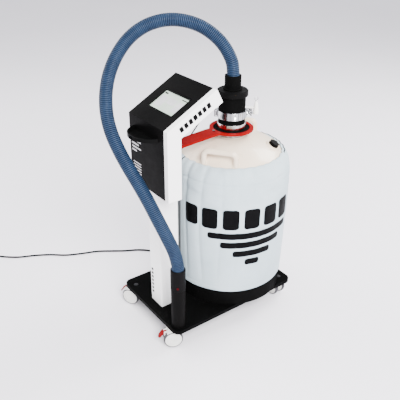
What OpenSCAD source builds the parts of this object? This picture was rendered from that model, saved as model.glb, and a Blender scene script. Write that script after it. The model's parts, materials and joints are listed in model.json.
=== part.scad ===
// Mobile liquid nitrogen dewar: a jacketed storage dewar on a wheeled base plate,
// with a control column, a neck coupling and a corrugated vapour hose that ends
// in a hand applicator. Millimetres, +Z up, the floor is Z = 0, the screen side
// faces -Y and X = 0 is the middle plane of the base plate.

/* [Base] */
// Width of the base plate
plate_w = 400; // [380:1:440]
// Length of the base plate
plate_l = 600; // [580:1:640]
// Thickness of the base plate
plate_t = 16; // [14:1:22]
// Corner radius of the base plate
plate_r = 28; // [10:1:40]
// Radius of a castor wheel
wheel_r = 37.5; // [36:0.5:37.5]
// Swivel angle of the front left castor, seen from above
front_left_yaw = -150; // [-160:5:-60]
// Swivel angle of the front right castor, seen from above
front_right_yaw = -115; // [-150:5:-60]
// Swivel angle of the two rear castors, seen from above
rear_yaw = 180; // [150:5:210]

/* [Dewar] */
// Outer radius of the metal dewar
dewar_r = 218; // [214:1:220]
// Height of the straight part's upper end above the floor
shoulder_z = 640; // [620:1:650]
// Outer radius of the jacket at its widest
jacket_r = 237; // [232:1:245]
// Outer radius of the neck tube
neck_r = 52; // [52:1:54]

/* [Column and head] */
// Width of the white column cover
column_w = 78; // [76:1:90]
// Width of the black head without its side panel
head_w = 224; // [200:1:240]
// Thickness of the white side panel
panel_t = 22; // [14:1:26]
// Slope of the screen face
slope = 28.35; // [24:0.05:32]

/* [Hose and cord] */
// Outer diameter of the vapour hose
hose_d = 47.5; // [44:0.5:47.5]
// Diameter of the mains cord
cord_d = 8; // [7:0.5:8]

/* [Hidden] */
$fn = 96;

// Small gap between pieces that touch without being a fit.
gap = 0.1;
// Radial clearance of a pin that turns in its bore.
fit = 0.05;

// Base and castors
plate_y = 3;
plate_z = 79;
plate_top = plate_z + plate_t;
castor_x = 155;
castor_front_y = -264;
castor_rear_y = 270;
trail = 18;
stem_r = 6;
web_half = 10;
wheel_in = 11.5;
wheel_out = 27.5;
axle_r = 4;
pedal_x = 46;
pedal_z = 61;
pedal_pin_r = 2.5;

// Dewar
dewar_y = 102;
tub_t = 6;
dewar_base = plate_top + tub_t;
dome_h = 110;
shell_t = 3;
vessel_r = 190;
neck_t = 2;
hem_z = 164;
rim_z = 692;
handle_r = 177;
handle_half = 60;
handle_bar_z = 742;
handle_tube = 10.5;
handle_angle = -52;
port_r = 162;
port_angle = 40;

// Neck stack, lower faces of the parts
collar_z = 764;
seal_z = 798;
clamp_z = 817;
body_z = 846;
cap_z = 902;
cuff_z = 923;
cuff_top = 977;
collar_r = 55;
body_r = 51;
clamp_in = body_r + 0.4;
clamp_out = 56.5;
cap_r = 59;
cuff_r = 31;
clamp_mid = (clamp_z + body_z) / 2;
lug_angle = 75;
hinge_angle = 235;
hinge_r = 62;
swing_r = 70;
swing_y = 9;
nut_y = -13.2;
valve_angle = 41.5;
valve_r = 90;
valve_z = 858;

// Column
mast_w = 72;
mast_front = -221;
mast_back = -160;
cover_front = -258;
cover_back = -176;
mast_top = 800;

// Head, an angled box: a vertical part and a part that rises towards the dewar
head_front = -277;
head_bottom = 620;
head_bend = 880;
head_deep = 56;
head_thick = 54;
head_len = 229;
wall = 3;
screen_x = 4;
screen_s = 106;

// Yoke
yoke_z = 768;
yoke_drop = 10;
yoke_t = 8;
yoke_out = 85;
yoke_in = 70;
arm_w = 64;
yoke_bolt_y = 17;

// Applicator and its holder
holder_x = 160;
holder_y = -260;
holder_r = 27.5;
holder_top = 266;
grip_r = 28.5;
grip_top = 356;
hose_end = 318;
button_angle = -36.5;
button_z = 285;

// Cords
coil_r = 44;
coil_x = -849;
coil_y = -706;
plug_angle = 220;
gland_z = 130;
gland_y = -168;

hose_route = [
    [0, 102, 924], [0, 102, 950], [0, 102, 978], [-6, 96, 1030], [-32, 69, 1091],
    [-71, 25, 1138], [-111, -28, 1163], [-149, -87, 1168], [-182, -147, 1151],
    [-199, -205, 1116], [-197, -258, 1068], [-180, -304, 1013], [-151, -339, 957],
    [-115, -362, 900], [-77, -371, 844], [-37, -367, 788], [4, -357, 735],
    [43, -343, 682], [81, -329, 627], [113, -314, 567], [139, -295, 502],
    [155, -273, 432], [160, -262, 378], [160, -260, 348], [160, -260, 319]
];
cord_route = [
    [-61, -168, 130], [-76, -168, 130], [-96, -163, 128], [-120, -151, 123],
    [-146, -131, 116], [-171, -106, 110], [-194, -81, 104], [-214, -59, 93],
    [-230, -41, 71], [-244, -25, 44], [-260, -11, 20], [-282, 1, 7], [-312, 9, 4],
    [-350, 11, 4], [-400, 5, 4], [-448, -11, 4], [-490, -53, 4], [-524, -115, 4],
    [-562, -171, 4], [-598, -227, 4], [-626, -299, 4], [-658, -367, 4], [-704, -425, 4],
    [-742, -489, 4], [-772, -555, 4], [-806, -601, 4], [-842, -637, 4], [-880, -669, 4]
];
lead_route = [[-880, -669, 12], [-894, -681, 13], [-908, -692, 16], [-922, -704, 19]];
cable_route = [
    [-39, 65, 877], [-51, 53, 873], [-60, 35, 854], [-61, 9, 818], [-54, -27, 782],
    [-50, -67, 746], [-38, -107, 716], [-24, -141, 702], [-18, -159, 700]
];

// ---- helpers ----

// A closed tube of the given radius along a list of points.
function unit(v) = v / norm(v);
function tangent(p, i) = unit(p[min(i + 1, len(p) - 1)] - p[max(i - 1, 0)]);
function side_of(t) = unit(cross(t, abs(t.z) > 0.9 ? [0.6, 0.8, 0] : [0, 0, 1]));
function carry(t, n) = unit(n - (n * t) * t);
function frames(p, i = 0, n = [], acc = []) =
    i == len(p) ? acc :
    let (t = tangent(p, i), m = i == 0 ? side_of(t) : carry(t, n))
    frames(p, i + 1, m, concat(acc, [[t, m]]));
module sweep(p, r, sides = 8) {
    f = frames(p);
    rings = [for (i = [0 : len(p) - 1]) for (k = [0 : sides - 1])
        let (a = 360 * k / sides, n = f[i][1], b = cross(f[i][0], f[i][1]))
        p[i] + r * (cos(a) * n + sin(a) * b)];
    last = (len(p) - 1) * sides;
    walls = [for (i = [0 : len(p) - 2]) for (k = [0 : sides - 1])
        let (a = i * sides + k, b = i * sides + (k + 1) % sides)
        [a, a + sides, b + sides, b]];
    ends = [[for (k = [0 : sides - 1]) k], [for (k = [sides - 1 : -1 : 0]) last + k]];
    polyhedron(rings, concat(walls, ends), convexity = 6);
}

// Points of a smooth curve through a route, n of them between two route points.
function smooth(p, n) = [for (i = [0 : len(p) - 2]) for (k = [0 : n - 1])
    let (a = p[max(i - 1, 0)], b = p[i], c = p[i + 1], d = p[min(i + 2, len(p) - 1)], t = k / n)
    0.5 * (2 * b + (c - a) * t + (2 * a - 5 * b + 4 * c - d) * t * t
        + (3 * b - a - 3 * c + d) * t * t * t), p[len(p) - 1]];

module ring(r_out, r_in, h) {
    difference() {
        cylinder(r = r_out, h = h);
        translate([0, 0, -1]) cylinder(r = r_in, h = h + 2);
    }
}
module at_dewar(z = 0) { translate([0, dewar_y, z]) children(); }
module at_castor(x, y, yaw) { translate([x, y, 0]) rotate(yaw) children(); }
module along_y(r, y0, y1) { translate([0, y0, 0]) rotate([-90, 0, 0]) cylinder(r = r, h = y1 - y0); }
module rounded_slab(w, l, r, h) {
    linear_extrude(h) {
        square([w - 2 * r, l], center = true);
        square([w, l - 2 * r], center = true);
        for (x = [-1, 1], y = [-1, 1]) translate([x * (w / 2 - r), y * (l / 2 - r)]) circle(r);
    }
}
castors = [
    [-castor_x, castor_front_y, front_left_yaw], [castor_x, castor_front_y, front_right_yaw],
    [-castor_x, castor_rear_y, rear_yaw], [castor_x, castor_rear_y, rear_yaw]
];

// ---- base ----

module base_plate() {
    color("#1b1b1d") difference() {
        translate([0, plate_y, plate_z]) rounded_slab(plate_w, plate_l, plate_r, plate_t);
        for (c = castors) translate([c.x, c.y, plate_z - 1]) {
            cylinder(r = stem_r + gap, h = plate_t + 2);
            translate([0, 0, plate_t - 7]) cylinder(r = 12, h = 10);
        }
        for (x = [-1, 1], y = [-1, 1]) plate_screw_at(x, y) {
            translate([0, 0, -1]) cylinder(r = 3.2, h = plate_t + 2);
            translate([0, 0, -1]) cylinder(r = 6.2, h = 5.6);
        }
    }
}
module plate_screw_at(x, y) {
    translate([x * 22, (mast_front + mast_back) / 2 + y * 18, plate_z]) children();
}
module plate_screws() {
    color("silver") for (x = [-1, 1], y = [-1, 1]) plate_screw_at(x, y) {
        difference() {
            translate([0, 0, 0.6]) cylinder(r = 5.5, h = 4);
            cylinder(r = 2.4, h = 2.6, $fn = 6);
        }
        translate([0, 0, 4.5]) cylinder(r = 3, h = plate_t + 14);
    }
}
module castor_stems() {
    color("silver") for (c = castors) translate([c.x, c.y, 0]) {
        translate([0, 0, 41]) cylinder(r = stem_r, h = 53);
        translate([0, 0, 77.6]) cylinder(r = 10, h = plate_z - 77.6);
        translate([0, 0, plate_top - 8]) cylinder(r = 10, h = 6, $fn = 6);
    }
}

// Housing of a twin-wheel castor. Local +X is the trailing side.
module castor_housing(braked) {
    web = [[-10, 42], [8, 24], [26, 24], [53, 54], [53, 67], [36, 72], [22, 76.5], [-10, 76.5]];
    color("#e9e9e6") difference() {
        union() {
            translate([0, web_half, 0]) rotate([90, 0, 0]) linear_extrude(2 * web_half) polygon(web);
            intersection() {
                translate([trail, 0, wheel_r]) difference() {
                    along_y(wheel_r + 3.1, -wheel_out, wheel_out);
                    along_y(wheel_r + 1.1, -wheel_out - 1, wheel_out + 1);
                }
                translate([trail - 24, -40, 60]) cube([48, 80, 30]);
            }
        }
        translate([0, 0, 40]) cylinder(r = stem_r + fit, h = 40);
        translate([trail, 0, wheel_r]) along_y(axle_r + fit, -40, 40);
        if (braked) {
            translate([pedal_x, 0, pedal_z]) along_y(pedal_pin_r + fit, -40, 40);
            translate([37, -5.4, 50]) cube([40, 10.8, 30]);
        }
    }
}
module wheel_pair() {
    tyre = [[0, wheel_in], [33, wheel_in], [36.5, wheel_in + 1.5], [wheel_r, wheel_in + 5],
        [wheel_r, wheel_out - 4], [36, wheel_out - 1.2], [33, wheel_out - 0.5],
        [33, wheel_out - 1.5], [31, wheel_out - 1.5], [29, wheel_out], [0, wheel_out]];
    color("#dededb") translate([trail, 0, wheel_r]) {
        for (s = [-90, 90]) rotate([s, 0, 0]) rotate_extrude() polygon(tyre);
        along_y(axle_r, -wheel_in - 1, wheel_in + 1);
    }
}
module brake_pedal() {
    color("#b01218") {
        translate([pedal_x, 0, pedal_z]) {
            along_y(pedal_pin_r, -9.6, 9.6);
            along_y(6, -5, 5);
        }
        translate([pedal_x, 5, 0]) rotate([90, 0, 0]) linear_extrude(10)
            polygon([[0, pedal_z - 4], [16, pedal_z - 5], [17, pedal_z + 1], [0, pedal_z + 6]]);
        translate([58, 0, 67]) rotate([0, 55, 0]) {
            translate([0, -11, -5]) cube([20, 22, 5]);
            translate([20, 0, -5]) intersection() {
                cylinder(r = 11, h = 5);
                translate([-0.5, -12, -1]) cube([13, 24, 8]);
            }
        }
    }
}
module castor_n(i, braked) { at_castor(castors[i].x, castors[i].y, castors[i].z) castor_housing(braked); }
module wheels_n(i) { at_castor(castors[i].x, castors[i].y, castors[i].z) wheel_pair(); }
module pedal_n(i) { at_castor(castors[i].x, castors[i].y, castors[i].z) brake_pedal(); }

// ---- column ----

module mast() {
    depth = mast_back - mast_front;
    color("#8f9295") translate([0, mast_front, plate_top]) difference() {
        translate([-mast_w / 2, 0, 0]) cube([mast_w, depth, mast_top - plate_top]);
        translate([-mast_w / 2 + 8, 8, -1]) cube([mast_w - 16, depth - 16, mast_top]);
        for (x = [-18, 18]) translate([x, depth, -1]) slot_cut();
        for (x = [-1, 1]) translate([x * mast_w / 2, depth - 9, 110]) rotate([0, 0, 90]) slot_cut();
    }
    color("#8f9295") for (x = [-1, 1], y = [-1, 1]) difference() {
        plate_screw_at(x, y) translate([-9, -9, plate_t]) cube([18, 18, 24]);
        plate_screw_at(x, y) cylinder(r = 3 + gap, h = 60);
    }
    color("#2a2a2c") translate([0, 0, mast_top]) translate([-mast_w / 2, mast_front, 0])
        cube([mast_w, depth, 3]);
}
// Straight groove of an aluminium profile, open towards the outside.
module slot_cut() { translate([-4, -5, 0]) cube([8, 10, mast_top]); }

module column_cover() {
    inner = column_w / 2 - 2.5;
    r = 5;
    color("white") translate([0, 0, plate_top]) linear_extrude(head_bottom - plate_top) difference() {
        union() {
            translate([-column_w / 2, cover_front + r]) square([column_w, cover_back - cover_front - r]);
            translate([-column_w / 2 + r, cover_front]) square([column_w - 2 * r, r + 1]);
            for (x = [-1, 1]) translate([x * (column_w / 2 - r), cover_front + r]) circle(r);
        }
        translate([-inner, cover_front + 2.5]) square([2 * inner, cover_back - cover_front]);
    }
}
module power_supply() {
    color("#5c6064") translate([-30, cover_front + 2.6, 150]) cube([60, 30, 180]);
}

// ---- head ----

function slant(s, d) = [
    head_front + s * cos(slope) + d * sin(slope), head_bend + s * sin(slope) - d * cos(slope)];
function slant_z(y, d) = head_bend + (y - head_front) * tan(slope) - d / cos(slope);
// Side outline of the head, inset by t, as points in the Y-Z plane.
function head_outline(t) = [
    [head_front + t, head_bottom + t],
    [head_front + t, slant_z(head_front + t, t)],
    slant(head_len - t, t),
    slant(head_len - t, head_thick - t),
    [head_front + head_deep - t, slant_z(head_front + head_deep - t, head_thick - t)],
    [head_front + head_deep - t, head_bottom + t]
];
module head_slice(x, t, w) {
    translate([x, 0, 0]) rotate([90, 0, 90]) linear_extrude(w) polygon(head_outline(t));
}
// Frame on the sloped face: X is across, Y is up the slope and Z is outward.
module on_slope() { translate([screen_x, head_front, head_bend]) rotate([slope, 0, 0]) children(); }
module slope_box(w, l, z0, z1) {
    on_slope() translate([-w / 2, screen_s - l / 2, z0]) cube([w, l, z1 - z0]);
}
module head_shell() {
    color("#141416") difference() {
        head_slice(-head_w / 2, 0, head_w);
        head_slice(-head_w / 2 + wall, wall, head_w);
        slope_box(156, 98, -5, 2);
        translate([0, head_front + head_deep - 5, 700]) along_y(6, 0, 10);
    }
}
module side_panel() {
    color("white") difference() {
        head_slice(head_w / 2, 0, panel_t);
        head_slice(head_w / 2 - 1, wall, panel_t + 1 - wall);
    }
}
module screen_frame() {
    color("#0c0c0d") difference() {
        union() {
            slope_box(155.6, 97.6, -12, -0.6);
            slope_box(168, 110, -12, -3.2);
        }
        slope_box(144, 86, -13, 1);
    }
}
module touch_screen() { color("#cfd8cf") slope_box(143.8, 85.8, -12, -6); }
module control_board() {
    color("#1d5b36") slope_box(150, 90, -20, -18.4);
    color("#222222") {
        on_slope() translate([-40, screen_s - 20, -25]) cube([26, 26, 5.1]);
        on_slope() translate([10, screen_s - 30, -29]) cube([40, 18, 9.1]);
        on_slope() translate([0, screen_s + 10, -27]) cube([50, 14, 7.1]);
    }
}
// Dish on the front of the head, a segment of a circle.
module tray() {
    half = 80;
    deep = 62;
    tray_r = (half * half + deep * deep) / (2 * deep);
    color("#151517") intersection() {
        translate([0, head_front - deep + tray_r, 829]) difference() {
            cylinder(r = tray_r, h = 13);
            translate([0, 0, 3]) cylinder(r = tray_r - 4, h = 13);
        }
        translate([-half - 1, head_front - deep - 1, 828]) cube([2 * half + 2, deep + 1, 16]);
    }
}

// ---- yoke ----

module yoke() {
    arm_end = dewar_y - yoke_in - 4;
    low = yoke_z - yoke_drop;
    bend_y = -2;
    arm = [[mast_back, low], [bend_y, yoke_z], [arm_end, yoke_z], [arm_end, yoke_z + yoke_t],
        [bend_y, yoke_z + yoke_t], [mast_back, low + yoke_t]];
    color("#b5161c") difference() {
        union() {
            at_dewar(yoke_z) cylinder(r = yoke_out, h = yoke_t);
            translate([-arm_w / 2, 0, 0]) rotate([90, 0, 90]) linear_extrude(arm_w) polygon(arm);
            translate([-arm_w / 2, mast_back, low - 40]) cube([arm_w, 6, 44]);
        }
        at_dewar(yoke_z - 1) cylinder(r = yoke_in, h = yoke_t + 2);
        for (x = [-18, 18]) translate([x, mast_back - 1, low - 20]) along_y(3.3, 0, 10);
        translate([0, yoke_bolt_y, yoke_z - 1]) cylinder(r = 3.3, h = yoke_t + 2);
    }
}
module yoke_grommet() { color("#1a1a1a") at_dewar(yoke_z + 1) ring(yoke_in - gap, collar_r + gap, 5); }
module cap_screw(h) {
    difference() {
        cylinder(r = 5, h = 4);
        translate([0, 0, 1.8]) cylinder(r = 2.4, h = 3, $fn = 6);
    }
    translate([0, 0, -h]) cylinder(r = 3, h = h + 0.5);
}
module yoke_screws() {
    color("silver") {
        for (x = [-18, 18]) translate([x, mast_back + 6, yoke_z - yoke_drop - 20])
            rotate([-90, 0, 0]) cap_screw(10);
        translate([0, yoke_bolt_y, yoke_z + yoke_t]) cap_screw(8);
    }
}

// ---- dewar ----

// Quarter ellipse of the dome, from the straight wall up to radius r_end.
function dome_arc(a, b, z0, r_end, n) = [for (i = [0 : n])
    let (r = a * cos(acos(r_end / a) * i / n)) [r, z0 + b * sqrt(max(0, 1 - pow(r / a, 2)))]];

module dewar_shell() {
    outer = concat([[0, dewar_base], [dewar_r - 12, dewar_base], [dewar_r, dewar_base + 12]],
        dome_arc(dewar_r, dome_h, shoulder_z, neck_r + gap, 24));
    inner = concat([[0, dewar_base + shell_t], [dewar_r - 13, dewar_base + shell_t],
        [dewar_r - shell_t, dewar_base + 13]],
        dome_arc(dewar_r - shell_t, dome_h - shell_t, shoulder_z, neck_r + gap, 24));
    profile = concat(outer, [for (i = [len(inner) - 1 : -1 : 0]) inner[i]]);
    color("#ddd5c9") at_dewar() rotate_extrude($fn = 128) polygon(profile);
}
module inner_vessel() {
    low = 150;
    high = 520;
    bulge = 70;
    function half(r, t) = concat(
        [for (i = [0 : 10]) let (a = -90 + 9 * i) [(r - t) * cos(a), low + 40 + (40 - t) * sin(a)]],
        [for (p = dome_arc(r - t, bulge - t, high, neck_r, 12)) p]);
    out = half(vessel_r, 0);
    in = half(vessel_r, 2);
    color("#c9ccd0") at_dewar() rotate_extrude($fn = 96)
        polygon(concat(out, [for (i = [len(in) - 1 : -1 : 0]) in[i]]));
}
module neck_tube() {
    color("silver") at_dewar(560) ring(neck_r - gap, neck_r - neck_t, collar_z - 560);
}
module neck_collar() { color("silver") at_dewar(collar_z) ring(collar_r, neck_r - neck_t, seal_z - collar_z); }
// Two welded U-shaped handles on opposite sides of the dome.
module handle(angle) {
    bend = 18;
    low = 678;
    rotate(angle) translate([handle_r, 0, 0]) {
        for (s = [-1, 1]) {
            translate([0, s * handle_half, low]) cylinder(r = handle_tube, h = handle_bar_z - bend - low);
            translate([0, s * (handle_half - bend), handle_bar_z - bend])
                rotate([90, 0, s * 90]) rotate_extrude(angle = 90, $fn = 48) translate([bend, 0]) circle(handle_tube);
        }
        translate([0, 0, handle_bar_z]) along_y(handle_tube, -handle_half + bend, handle_half - bend);
    }
}
module handles() { color("#e3dccf") at_dewar() { handle(handle_angle); handle(handle_angle + 180); } }

dome_at_port = shoulder_z + dome_h * sqrt(1 - pow(port_r / dewar_r, 2));
module at_port() {
    at_dewar() rotate(port_angle) translate([port_r, 0, dome_at_port]) rotate([0, 30, 0]) children();
}
module port_boss() { color("#e3dccf") at_port() translate([0, 0, -3]) cylinder(r1 = 30, r2 = 26, h = 8); }
module port_cap() {
    color("#121212") at_port() translate([0, 0, 5]) {
        cylinder(r = 20, h = 3);
        translate([0, 0, 3]) linear_extrude(9) for (a = [0, 60, 120]) rotate(a) square([36, 18], center = true);
    }
}
module jacket() {
    thick = 6;
    outer = [[jacket_r - 6, hem_z], [jacket_r - 3, 300], [jacket_r, 480], [jacket_r, 600],
        [jacket_r - 2, 630], [jacket_r - 8, 656], [222, 676], [208, 689], [200, rim_z]];
    inner = [[200, rim_z - 6], [206, 682.5], [216, 670], [224, 652], [jacket_r - 2 - thick, 630],
        [jacket_r - thick, 600], [jacket_r - thick, 480], [jacket_r - 3 - thick, 300],
        [jacket_r - 6 - 5, hem_z]];
    color("#c9dadf") at_dewar() rotate_extrude($fn = 128) polygon(concat(outer, inner));
}
module foot_tub() {
    color("#161616") at_dewar(plate_top) difference() {
        cylinder(r = dewar_r + 6.4, h = 63);
        translate([0, 0, tub_t]) cylinder(r = dewar_r + 0.4, h = 63);
    }
}

// ---- neck coupling ----

module coupling_seal() { color("#161616") at_dewar(seal_z) ring(51, neck_r - neck_t, clamp_z - seal_z); }
module wedge(a0, a1, h) {
    far = 120;
    mid = (a0 + a1) / 2;
    linear_extrude(h) polygon([[0, 0], far * [cos(a0), sin(a0)], far * [cos((a0 + mid) / 2), sin((a0 + mid) / 2)],
        far * [cos(mid), sin(mid)], far * [cos((a1 + mid) / 2), sin((a1 + mid) / 2)], far * [cos(a1), sin(a1)]]);
}
module clamp_arc(a0, a1) {
    h = body_z - clamp_z - 1;
    intersection() {
        difference() {
            union() {
                cylinder(r = clamp_out - 1, h = h);
                translate([0, 0, 1.5]) cylinder(r = clamp_out, h = h - 3);
            }
            translate([0, 0, -1]) cylinder(r = clamp_in, h = h + 2);
        }
        wedge(a0, a1, h);
    }
}
module at_lugs() { at_dewar() rotate(lug_angle) children(); }
module at_hinge() { at_dewar() rotate(hinge_angle) translate([hinge_r, 0, 0]) children(); }
// Hinge knuckle; dir is +1 where it joins the front half and -1 for the rear half.
module knuckle(z, h, dir) {
    at_hinge() translate([0, 0, z]) difference() {
        union() {
            cylinder(r = 5.5, h = h);
            translate([-7.5, dir > 0 ? -2.2 : -6.2, 0]) cube([7, 8.4, h]);
        }
        translate([0, 0, -1]) cylinder(r = 2.5 + fit, h = h + 2);
    }
}
// Rear half: carries the fork and the vertical pin of the swing bolt.
module clamp_rear() {
    color("#cfd2d4") {
        difference() {
            at_dewar(clamp_z + 0.5) clamp_arc(lug_angle + 4, hinge_angle - 3);
            at_hinge() translate([0, 0, clamp_z - 1]) cylinder(r = 6, h = 8.8);
            at_hinge() translate([0, 0, clamp_z + 21.2]) cylinder(r = 6, h = 9);
        }
        knuckle(clamp_z + 8, 13, -1);
        at_lugs() for (z = [clamp_z + 3, body_z - 8]) difference() {
            translate([clamp_in + 2, 4, z]) cube([24, 11, 5]);
            translate([swing_r, swing_y, z - 1]) cylinder(r = 3 + gap, h = 8);
        }
    }
}
// Front half: its lug has a slot that is open outward, so the bolt can swing out.
module clamp_front() {
    color("#cfd2d4") {
        difference() {
            at_dewar(clamp_z + 0.5) clamp_arc(hinge_angle - 360 + 3, lug_angle - 4);
            at_hinge() translate([0, 0, clamp_z + 7.8]) cylinder(r = 6, h = 13.4);
        }
        knuckle(clamp_z + 1, 6.8, 1);
        knuckle(clamp_z + 21.2, 6.8, 1);
        at_lugs() difference() {
            translate([clamp_in + 2, -12, clamp_z + 2]) cube([76 - clamp_in - 2, 8, 25]);
            translate([swing_r - 4.5, -13, clamp_mid - 4]) cube([20, 10, 8]);
        }
    }
}
module clamp_hinge_pin() {
    color("silver") at_hinge() translate([0, 0, clamp_z + 0.5]) {
        cylinder(r = 2.5, h = 28);
        translate([0, 0, 27.7]) cylinder(r = 4, h = 2.5);
    }
}
module swing_pin() {
    color("silver") at_lugs() translate([swing_r, swing_y, clamp_z + 1]) {
        cylinder(r = 3, h = 28);
        translate([0, 0, -1.5]) cylinder(r = 4.5, h = 3);
    }
}
module swing_bolt() {
    color("silver") at_lugs() translate([swing_r, swing_y, clamp_mid]) difference() {
        union() {
            translate([0, 0, -5.5]) cylinder(r = 6, h = 11);
            along_y(3, -42, 0);
        }
        translate([0, 0, -20]) cylinder(r = 3 + fit, h = 40);
    }
}
module wing_nut() {
    color("silver") at_lugs() translate([swing_r, nut_y, clamp_mid]) difference() {
        union() {
            along_y(6.5, -9, 0);
            for (s = [-1, 1]) translate([-1.5, -13, s > 0 ? 4 : -14]) cube([3, 9, 10]);
        }
        along_y(3 + fit, -30, 5);
    }
}
module coupling_body() {
    color("#151515") at_dewar(clamp_z) difference() {
        cylinder(r = body_r, h = cap_z - clamp_z);
        translate([0, 0, -1]) cylinder(r = 10 + gap, h = 100);
        rotate(valve_angle) translate([body_r - 8, 0, valve_z - clamp_z]) rotate([0, 90, 0])
            cylinder(r = 4 + gap, h = 20);
    }
}
module coupling_cap() {
    color("#1c1c1d") at_dewar(cap_z) difference() {
        union() {
            cylinder(r = cap_r, h = cuff_z - cap_z - 3);
            cylinder(r = cap_r - 3, h = cuff_z - cap_z);
        }
        translate([0, 0, -1]) cylinder(r = 18, h = 60);
    }
}
module hose_cuff() {
    color("#111111") at_dewar(cuff_z) difference() {
        union() {
            cylinder(r = cuff_r, h = cuff_top - cuff_z);
            cylinder(r = cuff_r + 4, h = 6);
        }
        translate([0, 0, -1]) cylinder(r = hose_d / 2 + gap, h = 90);
    }
}
module riser_tube() { color("silver") at_dewar(190) ring(10, 8, cap_z - 190); }
module at_valve() { at_dewar() rotate(valve_angle) children(); }
module relief_valve() {
    color("#eeeeec") at_valve() {
        translate([body_r - 7, 0, valve_z]) rotate([0, 90, 0]) cylinder(r = 4, h = valve_r - body_r + 4);
        translate([valve_r, 0, 0]) rotate_extrude() polygon([[2.6, 834], [9, 834], [10.5, 838], [10.5, 846],
            [6.5, 876], [4.5, 884], [2.6, 884]]);
        translate([valve_r, 0, 845]) cylinder(r = 4, h = 12);
    }
}
// Pull ring on a short rod that lifts the valve's seat.
module relief_ring() {
    color("silver") at_valve() translate([valve_r, 0, 0]) {
        translate([0, 0, 860]) cylinder(r = 2.5, h = 28);
        translate([0, 0, 894]) rotate([90, 0, 30]) rotate_extrude() translate([6.5, 0]) circle(1.2, $fn = 24);
    }
}
module sensor_cable() { color("#2b2b2e") sweep(smooth(cable_route, 2), 2.5); }

// ---- hose, applicator and holder ----

module hose() { color("#4f7194") sweep(smooth(hose_route, 2), hose_d / 2, 12); }
module at_holder(z = 0) { translate([holder_x, holder_y, z]) children(); }
module applicator_grip() {
    profile = [[12, holder_top + 0.3], [grip_r - 1.5, holder_top + 0.3], [grip_r, holder_top + 2],
        [grip_r, grip_top - 3], [grip_r - 2, grip_top], [hose_d / 2 + gap, grip_top],
        [hose_d / 2 + gap, hose_end], [12, hose_end]];
    color("#171718") at_holder() difference() {
        rotate_extrude() polygon(profile);
        rotate(button_angle) translate([19.5, 0, button_z]) rotate([0, 90, 0]) cylinder(r = 4.5 + fit, h = 20);
    }
}
module applicator_nozzle() {
    profile = [[9, 112], [11, 108], [14, 108], [22, 140], [23, 150], [23, holder_top + 0.2],
        [12, holder_top + 0.2], [12, 160], [9, 130]];
    color("#1e1e20") at_holder() rotate_extrude() polygon(profile);
}
module release_button() {
    color("#a3161b") at_holder(button_z) rotate(button_angle) translate([22, 0, 0]) rotate([0, 90, 0])
        cylinder(r = 4.5, h = 8);
}
module holder_tube() {
    color("#1a1a1b") at_holder(plate_top) difference() {
        cylinder(r = holder_r, h = holder_top - plate_top);
        translate([0, 0, 4]) cylinder(r = holder_r - 3, h = 400);
    }
}

// ---- mains cord ----

module cord_gland() {
    color("#121212") translate([-mast_w / 2, gland_y, gland_z]) rotate([0, -90, 0]) difference() {
        union() {
            cylinder(r = 7, h = 8);
            translate([0, 0, 8]) cylinder(r1 = 6.5, r2 = cord_d / 2 + 1.2, h = 30);
        }
        translate([0, 0, 24]) cylinder(r = cord_d / 2 + gap, h = 20);
    }
}
module mains_cord() {
    color("#101010") {
        sweep(cord_route, cord_d / 2);
        sweep(lead_route, cord_d / 2);
    }
}
module cord_coil() {
    color("#101010") translate([coil_x, coil_y, 0]) rotate_extrude()
        translate([coil_r - cord_d, 0]) square([2 * cord_d, 2 * cord_d]);
}
// Round two-pin plug lying beside the coil, pins away from it.
module mains_plug() {
    translate(lead_route[len(lead_route) - 1]) rotate([0, 0, plug_angle]) rotate([0, 90, 0]) {
        color("#141414") {
            cylinder(r1 = 7, r2 = 12, h = 14);
            translate([0, 0, 14]) cylinder(r = 18.5, h = 26);
        }
        color("silver") for (s = [-1, 1]) translate([0, s * 9.5, 40]) cylinder(r = 2.4, h = 19);
    }
}

base_plate();
plate_screws();
castor_stems();
castor_n(0, true);  // castor_front_left
castor_n(1, true);  // castor_front_right
castor_n(2, false);  // castor_rear_left
castor_n(3, false);  // castor_rear_right
wheels_n(0);  // wheels_front_left
wheels_n(1);  // wheels_front_right
wheels_n(2);  // wheels_rear_left
wheels_n(3);  // wheels_rear_right
pedal_n(0);  // pedal_front_left
pedal_n(1);  // pedal_front_right
foot_tub();
mast();
column_cover();
power_supply();
head_shell();
side_panel();
screen_frame();
touch_screen();
control_board();
tray();
yoke();
yoke_grommet();
yoke_screws();
dewar_shell();
inner_vessel();
neck_tube();
neck_collar();
handles();
port_boss();
port_cap();
jacket();
coupling_seal();
clamp_front();
clamp_rear();
clamp_hinge_pin();
swing_pin();
swing_bolt();
wing_nut();
coupling_body();
coupling_cap();
hose_cuff();
riser_tube();
relief_valve();
relief_ring();
sensor_cable();
hose();
applicator_grip();
applicator_nozzle();
release_button();
holder_tube();
cord_gland();
mains_cord();
cord_coil();
mains_plug();
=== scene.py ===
"""Looks for the mobile liquid nitrogen dewar: cords, fabric, finishes, light and camera."""

import json
import math

import bmesh
import bpy
from mathutils import Matrix, Vector, noise


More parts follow.
